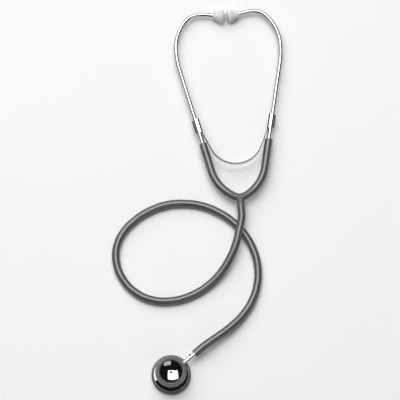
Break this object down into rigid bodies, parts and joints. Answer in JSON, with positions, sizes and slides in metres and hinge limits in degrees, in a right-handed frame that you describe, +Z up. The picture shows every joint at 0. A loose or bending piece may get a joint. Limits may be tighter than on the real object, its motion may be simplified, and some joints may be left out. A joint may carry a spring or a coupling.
{
  "type": "stethoscope",
  "caption": "Stethoscope lying flat: bent metal ear tubes with a leaf spring, a forked rubber yoke, a looped hose, and a chestpiece with bell and diaphragm that turns on its stem.",
  "frame": {"origin": "on the table, under the middle of the box round everything but the hose", "axes": "+Y from the chestpiece towards the ear tips, +Z up from the table, +X to the right"},
  "size_m": [0.2043, 0.4761, 0.0245],
  "materials": {
    "hose_rubber": "dark grey rubber tubing, satin",
    "rim_rubber": "mid grey rubber, satin",
    "chrome": "bright chrome plate",
    "steel": "plain turned steel",
    "black_plastic": "black, glossy",
    "seal_rubber": "black rubber",
    "milky_plastic": "milky white, slightly uneven",
    "film": "smooth off-white sheet"
  },
  "bodies": {
    "tubing": {"y_tubing": "hose_rubber", "hose": "hose_rubber", "leaf_spring": "chrome", "stem": "chrome", "stem_seals": "seal_rubber", "index_pin": "black_plastic"},
    "left_branch": {"left_lower_tube": "chrome", "left_sleeve": "chrome", "left_sleeve_key": "black_plastic"},
    "right_branch": {"right_lower_tube": "chrome", "right_sleeve": "chrome", "right_sleeve_key": "black_plastic"},
    "left_ear": {"left_ear_tube": "chrome", "left_tip_ferrule": "steel", "left_ear_tip": "milky_plastic"},
    "right_ear": {"right_ear_tube": "chrome", "right_tip_ferrule": "steel", "right_ear_tip": "milky_plastic"},
    "chestpiece": {"chestpiece_body": "chrome", "bell_ring": "rim_rubber", "diaphragm": "film", "diaphragm_ring": "chrome", "diaphragm_rim": "rim_rubber", "retaining_ring": "steel", "detent_ball": "steel", "detent_spring": "steel", "detent_screw": "steel"}
  },
  "joints": [
    {"name": "left_spread", "type": "hinge", "parent": "tubing", "child": "left_branch", "pos_m": [0.01398, 0.04342, 0.01272], "axis": [-0.0017, 0.023, 0.9997], "range_deg": [0, 25], "stiffness_Nm_per_rad": 2.5, "deforming": ["leaf_spring", "y_tubing"]},
    {"name": "right_spread", "type": "hinge", "parent": "tubing", "child": "right_branch", "pos_m": [0.03392, 0.04489, 0.01272], "axis": [0.0017, -0.023, -0.9997], "range_deg": [0, 25], "stiffness_Nm_per_rad": 2.5, "deforming": ["leaf_spring", "y_tubing"]},
    {"name": "left_ear_tube_turn", "type": "hinge", "parent": "left_branch", "child": "left_ear", "pos_m": [-0.02436, 0.08984, 0.01159], "axis": [0.2873, -0.9576, 0.0225], "range_deg": [-30, 30]},
    {"name": "right_ear_tube_turn", "type": "hinge", "parent": "right_branch", "child": "right_ear", "pos_m": [0.06507, 0.09641, 0.01159], "axis": [0.1444, 0.9893, -0.0225], "range_deg": [-30, 30]},
    {"name": "chestpiece_turn", "type": "hinge", "parent": "tubing", "child": "chestpiece", "pos_m": [-0.0275, -0.1895, 0.0124], "axis": [0.766, 0.6428, 0], "continuous": true}
  ]
}
